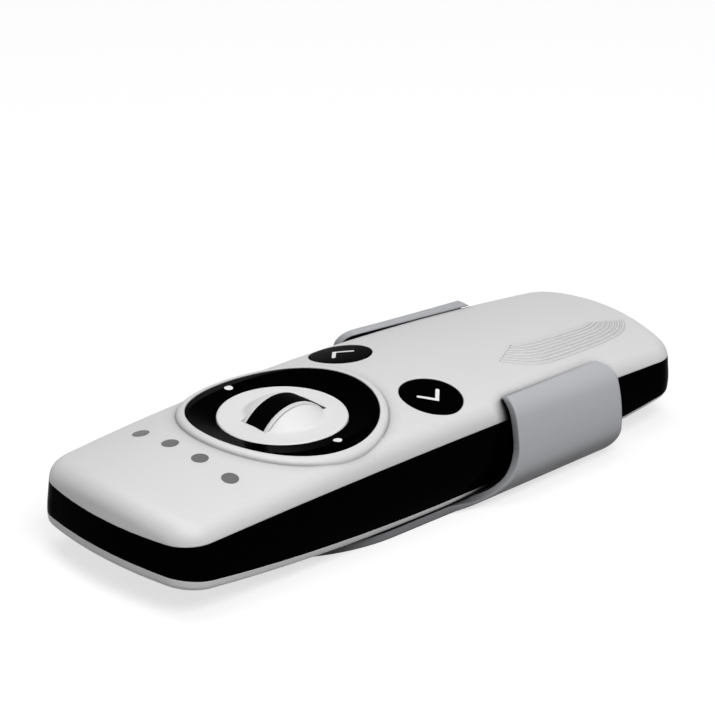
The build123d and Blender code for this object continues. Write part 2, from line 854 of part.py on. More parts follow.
# Thumb wheel: a hub with two rims, a tread between them, the axle and the encoder beside it
with BuildPart() as wheel_hub:
    with BuildSketch(wheel_plane):
        with Locations((wheel_y, -wheel_drop)):
            Circle(wheel_radius - rim_step)
            Circle(axle_radius + axle_clearance, mode=Mode.SUBTRACT)
    extrude(amount=wheel_half_width, both=True)
    fillet(wheel_hub.edges().filter_by(GeomType.CIRCLE).sort_by(SortBy.RADIUS)[-2:], radius=wheel_round)
    with BuildSketch(wheel_plane):
        with Locations((wheel_y, -wheel_drop)):
            Circle(wheel_radius)
            Circle(wheel_radius - tread_depth, mode=Mode.SUBTRACT)
    extrude(amount=tread_half_width, both=True, mode=Mode.SUBTRACT)
wheel_hub.part.label = "wheel_hub"
export_step(wheel_hub.part, "parts/wheel_hub.step")
with BuildPart() as wheel_tread:
    with BuildSketch(wheel_plane):
        with Locations((wheel_y, -wheel_drop)):
            Circle(wheel_radius)
            Circle(wheel_radius - tread_depth, mode=Mode.SUBTRACT)
    extrude(amount=tread_half_width, both=True)
wheel_tread.part.label = "wheel_tread"
export_step(wheel_tread.part, "parts/wheel_tread.step")
with BuildPart() as wheel_axle:
    with BuildSketch(wheel_plane):
        with Locations((wheel_y, -wheel_drop)):
            Circle(axle_radius)
    extrude(amount=axle_half_length, both=True)
wheel_axle.part.label = "wheel_axle"
export_step(wheel_axle.part, "parts/wheel_axle.step")
with BuildPart() as encoder:
    with BuildSketch(wheel_plane.offset(axle_half_length)):
        with Locations((wheel_y, -wheel_drop)):
            RectangleRounded(encoder_side, encoder_side, cell_chamfer)
    extrude(amount=encoder_width)
encoder.part.label = "encoder"
export_step(encoder.part, "parts/encoder.step")

# Channel buttons: round, flush with the face, each with an inlaid arrow that points outwards
button_skin = body_form(shell_wall + lip_clearance)
for name, side in (("previous", -1), ("next", 1)):
    place = (side * button_x, button_y)
    with BuildPart() as arrow:
        with BuildSketch(Plane.XY.offset(button_low)):
            with BuildLine() as chevron:
                strokes = Polyline(
                    (side * (button_x - arrow_tail), button_y - arrow_half_height),
                    (side * (button_x + arrow_tip), button_y),
                    (side * (button_x - arrow_tail), button_y + arrow_half_height),
                )
            trace(chevron.line, line_width=arrow_stroke)
            with Locations(strokes @ 0, strokes @ 0.5, strokes @ 1):
                Circle(arrow_stroke / 2)
        extrude(amount=crown_top)
        add(crown(arrow_depth), mode=Mode.SUBTRACT)
        add(crown(0), mode=Mode.INTERSECT)
    arrow.part.label = f"{name}_arrow"
    export_step(arrow.part, f"parts/{name}_arrow.step")
    with BuildPart() as flange:
        with BuildSketch(Plane.XY.offset(button_low)):
            with Locations(place):
                Circle(button_radius + button_flange)
        extrude(amount=crown_top)
        add(button_skin, mode=Mode.INTERSECT)
    with BuildPart() as button:
        with BuildSketch(Plane.XY.offset(button_low)):
            with Locations(place):
                Circle(button_radius)
        extrude(amount=crown_top)
        add(body_outer, mode=Mode.INTERSECT)
        add(flange.part)
        with BuildSketch(Plane.XY.offset(stem_low)):
            with Locations(place):
                Circle(button_stem_radius)
        extrude(amount=button_low - stem_low)
        add(arrow.part, mode=Mode.SUBTRACT)
    button.part.label = f"{name}_button"
    export_step(button.part, f"parts/{name}_button.step")

# Light row: a short light guide in the face over each light chip
for index, x in enumerate(light_row):
    with BuildPart() as light_window:
        with BuildSketch(Plane.XY.offset(crown_height(x, light_y) - pipe_head)):
            with Locations((x, light_y)):
                Circle(light_radius)
        extrude(amount=slack)
        add(body_outer, mode=Mode.INTERSECT)
        with BuildSketch(Plane.XY.offset(light_low)):
            with Locations((x, light_y)):
                Circle(pipe_radius)
        extrude(amount=crown_height(x, light_y) - pipe_head - light_low)
    light_window.part.label = f"light_window_{index + 1}"
    export_step(light_window.part, f"parts/light_window_{index + 1}.step")
    with BuildPart() as light_chip:
        with BuildSketch(Plane.XY.offset(board_top)):
            with Locations((x, light_y)):
                Rectangle(chip_length, chip_width)
        extrude(amount=chip_height)
    light_chip.part.label = f"light_chip_{index + 1}"
    export_step(light_chip.part, f"parts/light_chip_{index + 1}.step")

# Circuit board, open under the wheel
with BuildPart() as circuit_board:
    with BuildSketch(Plane.XY.offset(board_low)):
        add(body_plan(shell_wall + board_margin))
        with Locations((0, ring_y)):
            Rectangle(board_slot_width, board_slot_length, mode=Mode.SUBTRACT)
        with Locations(*[(side * screw_x, y) for side, y in end_corners]):
            Circle(screw_shank_radius + shank_clearance, mode=Mode.SUBTRACT)
    extrude(amount=board_thickness)
circuit_board.part.label = "circuit_board"
export_step(circuit_board.part, "parts/circuit_board.step")

# Rubber mat with a pressing dome under each channel button
with BuildPart() as keypad_mat:
    with BuildSketch(Plane.XY.offset(board_top)):
        with Locations((0, button_y)):
            RectangleRounded(mat_width, mat_length, mat_dome_radius)
    extrude(amount=mat_thickness)
    with BuildSketch(Plane.XY.offset(board_top)):
        with Locations(*[(side * button_x, button_y) for side in sides]):
            Circle(mat_dome_radius)
    extrude(amount=mat_thickness + mat_dome_height)
    with BuildSketch(Plane.XY.offset(board_top)):
        with Locations(*[(side * button_x, button_y) for side in sides]):
            Circle(mat_dome_radius - mat_dome_wall)
    extrude(amount=mat_thickness + mat_dome_height - mat_dome_wall, mode=Mode.SUBTRACT)
keypad_mat.part.label = "keypad_mat"
export_step(keypad_mat.part, "parts/keypad_mat.step")

# Press switches, chips and crystal on the board
for name, place, length, width, low, height in (
    ("ring_switch_left", (-ring_dot_x, ring_y), switch_side, switch_side, board_top, ring_switch_height),
    ("ring_switch_right", (ring_dot_x, ring_y), switch_side, switch_side, board_top, ring_switch_height),
    ("dish_switch", (0, dish_switch_y), switch_side, switch_side, board_top, switch_height),
    ("prog_switch", (0, prog_y), switch_side, switch_side, board_low - switch_height, switch_height),
    ("controller_chip", (0, controller_y), controller_side, controller_side, board_top, controller_height),
    ("radio_chip", (0, radio_y), radio_side, radio_side, board_top, radio_height),
    ("crystal", (crystal_x, controller_y), crystal_width, crystal_length, board_top, crystal_height),
):
    with BuildPart() as component:
        with BuildSketch(Plane.XY.offset(low)):
            with Locations(place):
                Rectangle(length, width)
        extrude(amount=height)
    component.part.label = name
    export_step(component.part, f"parts/{name}.step")

# Aerial wire on the board
with BuildPart() as aerial_wire:
    with BuildLine(Plane.XY.offset(board_top + aerial_radius)) as loop:
        FilletPolyline(
            (-aerial_half_width, aerial_near_y),
            (-aerial_half_width, aerial_far_y),
            (aerial_half_width, aerial_far_y),
            (aerial_half_width, aerial_near_y),
            radius=aerial_bend,
        )
    with BuildSketch(Plane(origin=loop.line @ 0, z_dir=loop.line % 0)):
        Circle(aerial_radius)
    sweep()
aerial_wire.part.label = "aerial_wire"
export_step(aerial_wire.part, "parts/aerial_wire.step")

# Screws that clamp the board between the shells
with BuildPart() as housing_screws:
    with BuildSketch(Plane.XY.offset(screw_seat)):
        with Locations(*[(side * screw_x, y) for side, y in end_corners]):
            Circle(screw_head_radius)
    extrude(amount=-screw_head_height)
    with BuildSketch(Plane.XY.offset(screw_seat)):
        with Locations(*[(side * screw_x, y) for side, y in end_corners]):
            Circle(screw_shank_radius)
    extrude(amount=board_top + screw_bite - screw_seat)
    with BuildSketch(Plane.XY.offset(screw_seat - screw_head_height)):
        with Locations(*[(side * screw_x, y) for side, y in end_corners]):
            Rectangle(2 * screw_shank_radius, screw_slot)
            Rectangle(screw_slot, 2 * screw_shank_radius)
    extrude(amount=screw_head_height / 2, mode=Mode.SUBTRACT)
housing_screws.part.label = "housing_screws"
export_step(housing_screws.part, "parts/housing_screws.step")

# Programming button, recessed in the back
with BuildPart() as prog_button:
    with BuildSketch(Plane.XY.offset(belly_height(prog_y) + prog_recess)):
        with Locations((0, prog_y)):
            Circle(prog_radius)
    extrude(amount=board_low - switch_height - prog_travel - belly_height(prog_y) - prog_recess)
    with BuildSketch(Plane.XY.offset(belly_height(prog_y) + shell_wall + prog_lift)):
        with Locations((0, prog_y)):
            Circle(prog_radius + prog_flange)
    extrude(amount=prog_flange_height)
prog_button.part.label = "prog_button"
export_step(prog_button.part, "parts/prog_button.step")
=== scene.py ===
"""Looks, light and camera for a slim wireless remote control that lies in its wall holder."""

from __future__ import annotations

import json
import logging
import math
from dataclasses import dataclass, field, replace
from enum import Enum
from typing import Any

import bpy
from mathutils import Matrix, Vector

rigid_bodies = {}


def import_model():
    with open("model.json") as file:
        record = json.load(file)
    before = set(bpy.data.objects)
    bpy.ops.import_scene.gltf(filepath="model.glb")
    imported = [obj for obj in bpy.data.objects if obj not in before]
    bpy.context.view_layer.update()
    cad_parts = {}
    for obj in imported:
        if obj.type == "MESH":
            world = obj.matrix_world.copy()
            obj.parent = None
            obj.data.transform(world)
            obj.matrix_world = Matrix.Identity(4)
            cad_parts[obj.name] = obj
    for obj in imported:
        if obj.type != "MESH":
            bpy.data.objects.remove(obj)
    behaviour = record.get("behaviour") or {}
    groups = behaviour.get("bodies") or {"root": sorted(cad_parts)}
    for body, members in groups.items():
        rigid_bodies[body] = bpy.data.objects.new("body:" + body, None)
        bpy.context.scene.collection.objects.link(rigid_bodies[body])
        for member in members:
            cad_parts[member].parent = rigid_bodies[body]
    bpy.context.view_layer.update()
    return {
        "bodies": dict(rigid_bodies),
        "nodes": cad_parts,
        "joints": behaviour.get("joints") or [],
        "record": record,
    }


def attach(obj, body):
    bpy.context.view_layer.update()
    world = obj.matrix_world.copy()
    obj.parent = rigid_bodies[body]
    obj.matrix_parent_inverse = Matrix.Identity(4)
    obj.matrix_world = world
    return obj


log = logging.getLogger("remote")
Point = tuple[float, float, float]
Colour = tuple[float, float, float, float]
Frame = dict[str, Any]

MM = 0.001
BLACK: Colour = (0.0, 0.0, 0.0, 1.0)
WHITE: Colour = (1.0, 1.0, 1.0, 1.0)
# Rays that the edge group and the painted-shade group send out at each point.
EDGE_SAMPLES = 6
PAINTED_SHADE_SAMPLES = 8
# Scale that a noise group has until a finish sets its own.
NOISE_SCALE = 900.0
# Lowest roughness that an uneven finish may reach.
SMOOTHEST = 0.02
# How many times finer the patches of the roughness are than those of the colour.
ROUGH_PATCHES = 6


class Body(str, Enum):
    """Moving bodies of the part that an added piece rides on."""

    REMOTE = "remote"


class Slot(str, Enum):
    """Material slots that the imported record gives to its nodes."""

    SHELL = "shell_grey"
    HOLDER = "holder_grey"
    GLOSS = "gloss_black"
    TREAD = "tread_black"
    RIM = "rim_white"
    INLAY = "inlay_white"
    WINDOW = "window_grey"
    BOARD = "board_green"
    STEEL = "steel"
    CHIP = "chip_black"
    LIGHT_CHIP = "chip_white"
    SILICONE = "silicone_grey"
    CRADLE = "cradle_white"


def linear(level: float) -> float:
    """Turn a display level into a linear one, by the sRGB curve.

    Args:
        level: brightness as a screen shows it, from 0 to 1.

    Returns:
        The same brightness in linear light.
    """
    return level / 12.92 if level <= 0.04045 else ((level + 0.055) / 1.055) ** 2.4


def tint(red: int, green: int, blue: int) -> Colour:
    """Turn display levels into a linear colour.

    Args:
        red: red level from 0 to 255.
        green: green level from 0 to 255.
        blue: blue level from 0 to 255.

    Returns:
        The linear colour, fully opaque.
    """
    return (linear(red / 255), linear(green / 255), linear(blue / 255), 1.0)


@dataclass
class Effects:
    """Shader node groups that more than one finish uses, each built once.

    Attributes:
        grain: fine relief of a moulded surface, as a height.
        mottle: slow unevenness of a colour or a roughness, as a value.
        edge: the small round that moulded edges have, as a normal.
        painted_crevice_shade: shade painted into the colour in gaps and corners, found by ambient
            occlusion, as a mask.
    """

    grain: bpy.types.NodeTree = field(init=False)
    mottle: bpy.types.NodeTree = field(init=False)
    edge: bpy.types.NodeTree = field(init=False)
    painted_crevice_shade: bpy.types.NodeTree = field(init=False)

    def __post_init__(self) -> None:
        """Build the groups."""
        self.grain = self._noise_group("moulded_grain", "Height", detail=3.0)
        self.mottle = self._noise_group("soft_mottle", "Shade", detail=1.5)
        self.edge = self._edge_group()
        self.painted_crevice_shade = self._painted_crevice_shade_group()

    @staticmethod
    def _edge_group() -> bpy.types.NodeTree:
        """Build the group that rounds edges.

        Returns:
            The finished group, with the input Radius and the output Normal.
        """
        tree = bpy.data.node_groups.new("moulded_edge", "ShaderNodeTree")
        tree.interface.new_socket(name="Radius", in_out="INPUT", socket_type="NodeSocketFloat")
        tree.interface.new_socket(name="Normal", in_out="OUTPUT", socket_type="NodeSocketVector")
        entry = tree.nodes.new("NodeGroupInput")
        leave = tree.nodes.new("NodeGroupOutput")
        bevel = tree.nodes.new("ShaderNodeBevel")
        bevel.samples = EDGE_SAMPLES
        tree.links.new(entry.outputs["Radius"], bevel.inputs["Radius"])
        tree.links.new(bevel.outputs["Normal"], leave.inputs["Normal"])
        return tree

    @staticmethod
    def _painted_crevice_shade_group() -> bpy.types.NodeTree:
        """Build the group that finds gaps and corners, where shade is painted into the colour.

        Returns:
            The finished group, with the inputs Reach and Strength and the output Mask.
        """
        tree = bpy.data.node_groups.new("crevice_shade", "ShaderNodeTree")
        for name in ("Reach", "Strength"):
            tree.interface.new_socket(name=name, in_out="INPUT", socket_type="NodeSocketFloat")
        tree.interface.new_socket(name="Mask", in_out="OUTPUT", socket_type="NodeSocketFloat")
        entry = tree.nodes.new("NodeGroupInput")
        leave = tree.nodes.new("NodeGroupOutput")
        open_sky = tree.nodes.new("ShaderNodeAmbientOcclusion")
        open_sky.samples = PAINTED_SHADE_SAMPLES
        closed = tree.nodes.new("ShaderNodeMath")
        closed.operation = "SUBTRACT"
        closed.inputs[0].default_value = 1.0
        weaker = tree.nodes.new("ShaderNodeMath")
        weaker.operation = "MULTIPLY"
        tree.links.new(entry.outputs["Reach"], open_sky.inputs["Distance"])
        tree.links.new(open_sky.outputs["AO"], closed.inputs[1])
        tree.links.new(closed.outputs["Value"], weaker.inputs[0])
        tree.links.new(entry.outputs["Strength"], weaker.inputs[1])
        tree.links.new(weaker.outputs["Value"], leave.inputs["Mask"])
        return tree

    @staticmethod
    def _noise_group(name: str, output: str, detail: float) -> bpy.types.NodeTree:
        """Build a group that turns a place on the object into an even noise.

        Args:
            name: name of the group.
            output: name of its output socket.
            detail: octaves of the noise.

        Returns:
            The finished group, with the inputs Scale, Low and High.
        """
        tree = bpy.data.node_groups.new(name, "ShaderNodeTree")
        for socket, value in (("Scale", NOISE_SCALE), ("Low", 0.0), ("High", 1.0)):
            made = tree.interface.new_socket(name=socket, in_out="INPUT", socket_type="NodeSocketFloat")
            made.default_value = value
        tree.interface.new_socket(name=output, in_out="OUTPUT", socket_type="NodeSocketFloat")
        entry = tree.nodes.new("NodeGroupInput")
        leave = tree.nodes.new("NodeGroupOutput")
        where = tree.nodes.new("ShaderNodeTexCoord")
        noise = tree.nodes.new("ShaderNodeTexNoise")
        noise.inputs["Detail"].default_value = detail
        spread = tree.nodes.new("ShaderNodeMapRange")
        tree.links.new(where.outputs["Object"], noise.inputs["Vector"])
        tree.links.new(entry.outputs["Scale"], noise.inputs["Scale"])
        tree.links.new(noise.outputs["Fac"], spread.inputs["Value"])
        tree.links.new(entry.outputs["Low"], spread.inputs["To Min"])
        tree.links.new(entry.outputs["High"], spread.inputs["To Max"])
        tree.links.new(spread.outputs["Result"], leave.inputs[output])
        return tree


@dataclass(frozen=True)
class Finish:
    """A surface finish: one principled shader with a fine relief, an uneven shade of colour and, where
    crevice is set, shade painted into the colour in gaps and corners.

    Attributes:
        name: name of the material.
        colour: its linear colour.
        roughness: middle roughness.
        spread: how far the roughness wanders from the middle.
        metallic: 1 for bare metal, else 0.
        coat: weight of a clear gloss layer.
        coat_roughness: roughness of that layer.
        specular: level of the plain reflection.
        grain_scale: cells of the relief per metre.
        grain_depth: height of the relief in metres.
        mottle: share by which the colour gets darker in places.
        mottle_scale: patches of that shade per metre.
        edge_radius: small round of the moulded edges, in metres.
        painted_crevice_shade: strength of the shade painted into the colour in gaps and corners.
        painted_shade_reach: how far that painted shade reaches out of them, in metres.
    """

    name: str
    colour: Colour
    roughness: float = 0.5
    spread: float = 0.05
    metallic: float = 0.0
    coat: float = 0.0
    coat_roughness: float = 0.04
    specular: float = 0.5
    grain_scale: float = 2600.0
    grain_depth: float = 0.000004
    mottle: float = 0.03
    mottle_scale: float = 60.0
    edge_radius: float = 0.0
    painted_crevice_shade: float = 0.0
    painted_shade_reach: float = 0.003

    def build(self, effects: Effects) -> bpy.types.Material:
        """Make the material.

        Args:
            effects: the shared shader groups.

        Returns:
            The finished material.
        """
        material = bpy.data.materials.new(self.name)
        material.use_nodes = True
        tree = material.node_tree
        shader = tree.nodes["Principled BSDF"]
        shader.inputs["Metallic"].default_value = self.metallic
        shader.inputs["Coat Weight"].default_value = self.coat
        shader.inputs["Coat Roughness"].default_value = self.coat_roughness
        shader.inputs["Specular IOR Level"].default_value = self.specular
        shade = self._place(tree, effects.mottle, self.mottle_scale, 0.0, self.mottle)
        blend = tree.nodes.new("ShaderNodeMix")
        blend.data_type = "RGBA"
        blend.inputs["A"].default_value = self.colour
        blend.inputs["B"].default_value = BLACK
        tone_and_painted_shade = shade.outputs["Shade"]
        # Painted shade: ambient occlusion darkens the base colour in gaps and corners.
        if self.painted_crevice_shade:
            painted_shade_node = tree.nodes.new("ShaderNodeGroup")
            painted_shade_node.node_tree = effects.painted_crevice_shade
            painted_shade_node.inputs["Reach"].default_value = self.painted_shade_reach
            painted_shade_node.inputs["Strength"].default_value = self.painted_crevice_shade
            both = tree.nodes.new("ShaderNodeMath")
            both.operation = "MAXIMUM"
            tree.links.new(tone_and_painted_shade, both.inputs[0])
            tree.links.new(painted_shade_node.outputs["Mask"], both.inputs[1])
            tone_and_painted_shade = both.outputs["Value"]
        tree.links.new(tone_and_painted_shade, blend.inputs["Factor"])
        tree.links.new(blend.outputs["Result"], shader.inputs["Base Color"])
        low, high = max(self.roughness - self.spread, SMOOTHEST), self.roughness + self.spread
        rough = self._place(tree, effects.mottle, ROUGH_PATCHES * self.mottle_scale, low, high)
        tree.links.new(rough.outputs["Shade"], shader.inputs["Roughness"])
        if self.grain_depth:
            relief = self._place(tree, effects.grain, self.grain_scale, 0.0, 1.0)
            bump = tree.nodes.new("ShaderNodeBump")
            bump.inputs["Strength"].default_value = 1.0
            bump.inputs["Distance"].default_value = self.grain_depth
            tree.links.new(relief.outputs["Height"], bump.inputs["Height"])
            tree.links.new(bump.outputs["Normal"], shader.inputs["Normal"])
            if self.edge_radius:
                edge = tree.nodes.new("ShaderNodeGroup")
                edge.node_tree = effects.edge
                edge.inputs["Radius"].default_value = self.edge_radius
                tree.links.new(edge.outputs["Normal"], bump.inputs["Normal"])
        return material

    @staticmethod
    def _place(
        tree: bpy.types.NodeTree, group: bpy.types.NodeTree, scale: float, low: float, high: float
    ) -> bpy.types.Node:
        """Put a shared group into a material.

        Args:
            tree: the material's node tree.
            group: the shared group.
            scale: cells of its noise per metre.
            low: its lowest value.
            high: its highest value.

        Returns:
            The group node.
        """
        node = tree.nodes.new("ShaderNodeGroup")
        node.node_tree = group
        for socket, value in (("Scale", scale), ("Low", low), ("High", high)):
            node.inputs[socket].default_value = value
        return node


FINISHES: dict[Slot, Finish] = {
    Slot.SHELL: Finish(
        "satin_shell_grey",
        tint(223, 223, 223),
        roughness=0.46,
        specular=0.35,
        grain_depth=0.000005,
        edge_radius=0.00025,
        # painted shade in the valley round the collar and in the other gaps of the shell
        painted_crevice_shade=2.5,
        painted_shade_reach=0.003,
    ),
    Slot.HOLDER: Finish(
        "satin_holder_grey",
        tint(186, 187, 191),
        roughness=0.5,
        specular=0.3,
        grain_depth=0.000005,
        edge_radius=0.0006,
        # painted shade on the tongue under the remote and low on the wings near the floor
        painted_crevice_shade=1.25,
        painted_shade_reach=0.01,
    ),
    Slot.GLOSS: Finish(
        "piano_black",
        tint(2, 2, 2),
        roughness=0.12,
        spread=0.02,
        specular=0.002,
        grain_depth=0.0,
        mottle=0.1,
    ),
    Slot.TREAD: Finish(
        "wheel_rubber_black", tint(2, 2, 2), roughness=0.6, specular=0.01, grain_depth=0.000006, mottle=0.1
    ),
    Slot.RIM: Finish("wheel_rim_white", tint(222, 222, 222), roughness=0.4),
    Slot.INLAY: Finish("inlay_white", tint(240, 240, 240), roughness=0.4, mottle=0.01),
    Slot.WINDOW: Finish("smoked_light_window", tint(112, 112, 112), roughness=0.35, grain_depth=0.000001),
    Slot.BOARD: Finish("solder_resist_green", tint(26, 92, 52), roughness=0.35, coat=0.4, mottle=0.2),
    Slot.STEEL: Finish("plain_steel", tint(196, 196, 196), roughness=0.3, metallic=1.0, grain_scale=4000.0),
    Slot.CHIP: Finish("moulded_chip_black", tint(34, 34, 36), roughness=0.55),
    Slot.LIGHT_CHIP: Finish("moulded_chip_white", tint(236, 232, 205), roughness=0.45),
    Slot.SILICONE: Finish("silicone_grey", tint(128, 130, 133), roughness=0.65, grain_depth=0.000008),
    Slot.CRADLE: Finish("cradle_white", tint(226, 226, 224), roughness=0.5),
}
PALE_DISH = Finish(
    "satin_dish_pale",
    tint(233, 233, 233),
    roughness=0.42,
    specular=0.35,
    grain_depth=0.000004,
    edge_radius=0.0002,
    # a little painted shade at the edges of the dish and round the wheel
    painted_crevice_shade=0.12,
    painted_shade_reach=0.001,
)
NODE_FINISHES: dict[str, Finish] = {"centre_dish": PALE_DISH}
# The ridges have the shell's grey, no edge round, and painted shade at their feet.
RIDGE_GREY = replace(
    FINISHES[Slot.SHELL], name="satin_ridge_grey", edge_radius=0.0, painted_crevice_shade=0.6, painted_shade_reach=0.0007
)


class Palette:
    """All finishes as materials, each built once."""

    def __init__(self, frame: Frame) -> None:
        """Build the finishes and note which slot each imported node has.

        Args:
            frame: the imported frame.
        """
        self._effects = Effects()
        self._by_slot = {slot: self.made(finish) for slot, finish in FINISHES.items()}
        self._by_node = {node: self.made(finish) for node, finish in NODE_FINISHES.items()}
        self._slots = {part["node"]: Slot(part["material_slot"]) for part in frame["record"]["subparts"]}

    def made(self, finish: Finish) -> bpy.types.Material:
        """Build one more material.

        Args:
            finish: the finish that it has.

        Returns:
            The new material.
        """
        return finish.build(self._effects)

    def of_node(self, node: str) -> bpy.types.Material:
        """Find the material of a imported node: its own, or else its slot's.

        Args:
            node: name of the node.

        Returns:
            The material, already built.
        """
        return self._by_node.get(node, self._by_slot[self._slots[node]])


@dataclass
class Assembly:
    """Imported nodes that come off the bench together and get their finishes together.

    Attributes:
        title: what the group is.
        nodes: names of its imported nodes.
    """

    title: str
    nodes: tuple[str, ...]

    def dress(self, frame: Frame, palette: Palette) -> None:
        """Give each node its own finish, or else that of its slot.

        Args:
            frame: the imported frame.
            palette: the finishes.
        """
        for name in self.nodes:
            material = palette.of_node(name)
            mesh = frame["nodes"][name].data
            mesh.materials.clear()
            mesh.materials.append(material)
            log.info("%s: %s in %s", self.title, name, material.name)


def numbered(stem: str, count: int) -> tuple[str, ...]:
    """List the names of like nodes, counted from one.

    Args:
        stem: what the names begin with.
        count: how many there are.

    Returns:
        The names in their order.
    """
    return tuple(f"{stem}_{index + 1}" for index in range(count))


ASSEMBLIES: tuple[Assembly, ...] = (
    Assembly("wall holder", ("wall_holder",)),
    Assembly("housing", ("top_shell", "side_band", "bottom_shell", "housing_screws")),
    Assembly("control ring", ("control_ring", "ring_dot_left", "ring_dot_right")),
    Assembly(
        "thumb wheel",
        ("centre_dish", "wheel_cradle", "wheel_hub", "wheel_tread", "wheel_axle", "encoder"),
    ),
    Assembly(
        "channel keys",
        ("previous_button", "next_button", "previous_arrow", "next_arrow", "keypad_mat"),
    ),
    Assembly("light row", numbered("light_window", 4) + numbered("light_chip", 4)),
    Assembly(
        "electronics",
        (
            "circuit_board",
            "controller_chip",
            "radio_chip",
            "crystal",
            "aerial_wire",
            "ring_switch_left",
            "ring_switch_right",
            "dish_switch",
            "prog_switch",
        ),
    ),
    Assembly(
        "battery bay",
        ("battery_cover", "coin_cell", "battery_contact_plus", "battery_contact_minus"),
    ),
    Assembly("programming key", ("prog_button",)),
)


class Net:
    """A geometry node tree that is put together node by node."""

    def __init__(self, name: str) -> None:
        """Start an empty tree.

        Args:
            name: name of the tree.
        """
        self.tree = bpy.data.node_groups.new(name, "GeometryNodeTree")
        self._entry = self.tree.nodes.new("NodeGroupInput")

    def socket(self, name: str, kind: str) -> None:
        """Add a named input.

        Args:
            name: name of the input.
            kind: what it holds, such as Float or Object.
        """
        self.tree.interface.new_socket(name=name, in_out="INPUT", socket_type=f"NodeSocket{kind}")

    def given(self, name: str) -> bpy.types.NodeSocket:
        """Find the socket that gives a named input.

        Args:
            name: name of the input.

        Returns:
            The socket to link from.
        """
        return self._entry.outputs[name]

    def add(
        self, kind: str, set_up: dict[str, Any] | None = None, at: tuple[Any, ...] = (), **inputs: Any
    ) -> Outputs:
        """Add a node and fill its inputs.

        Args:
            kind: the node's type.
            set_up: options of the node, by name.
            at: values or sockets for its inputs in their order.
            **inputs: values or sockets for its inputs by name, with _ for a space.

        Returns:
            The node's outputs.
        """
        node = self.tree.nodes.new(kind)
        for option, value in (set_up or {}).items():
            setattr(node, option, value)
        open_sockets = {socket.name: socket for socket in reversed(node.inputs) if socket.enabled}
        pairs = list(zip(node.inputs, at))
        pairs += [(open_sockets[name.replace("_", " ")], value) for name, value in inputs.items()]
        for socket, value in pairs:
            if isinstance(value, bpy.types.NodeSocket):
                self.tree.links.new(value, socket)
            else:
                socket.default_value = value
        return Outputs(node)

    def maths(self, operation: str, first: Any, second: Any) -> bpy.types.NodeSocket:
        """Add a Math node of two inputs.

        Args:
            operation: what the node does with them.
            first: the first value or socket.
            second: the second value or socket.

        Returns:
            The socket of the result.
        """
        return self.add("ShaderNodeMath", set_up={"operation": operation}, at=(first, second))[0]

    def result(self, socket: bpy.types.NodeSocket) -> None:
        """End the tree with a geometry.

        Args:
            socket: the socket that gives it.
        """
        self.tree.interface.new_socket(name="Geometry", in_out="OUTPUT", socket_type="NodeSocketGeometry")
        leave = self.tree.nodes.new("NodeGroupOutput")
        self.tree.links.new(socket, leave.inputs[0])


class Outputs:
    """The enabled outputs of a node, found by place or by name."""

    def __init__(self, node: bpy.types.Node) -> None:
        """Note which outputs of the node are in use.

        Args:
            node: the node.
        """
        self._open = [socket for socket in node.outputs if socket.enabled]

    def __getitem__(self, key: int | str) -> bpy.types.NodeSocket:
        """Find one output.

        Args:
            key: its place among the outputs in use, or its name.

        Returns:
            The output's socket.
        """
        if isinstance(key, int):
            return self._open[key]
        return next(socket for socket in self._open if socket.name == key)


def finished(piece: bpy.types.Object, body: Body) -> bpy.types.Object:
    """Turn a piece with live modifiers into a plain smooth mesh and let it ride on its body.

    Args:
        piece: the object as built.
        body: the body that it moves with.

    Returns:
        The same object with its final mesh.
    """
    graph = bpy.context.evaluated_depsgraph_get()
    mesh = bpy.data.meshes.new_from_object(piece.evaluated_get(graph), depsgraph=graph)
    piece.modifiers.clear()
    piece.data = mesh
    mesh.name = piece.name
    mesh.polygons.foreach_set("use_smooth", [True] * len(mesh.polygons))
    mesh.update()
    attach(piece, body.value)
    log.info("%s: %d faces on %s", piece.name, len(mesh.polygons), body.value)
    return piece


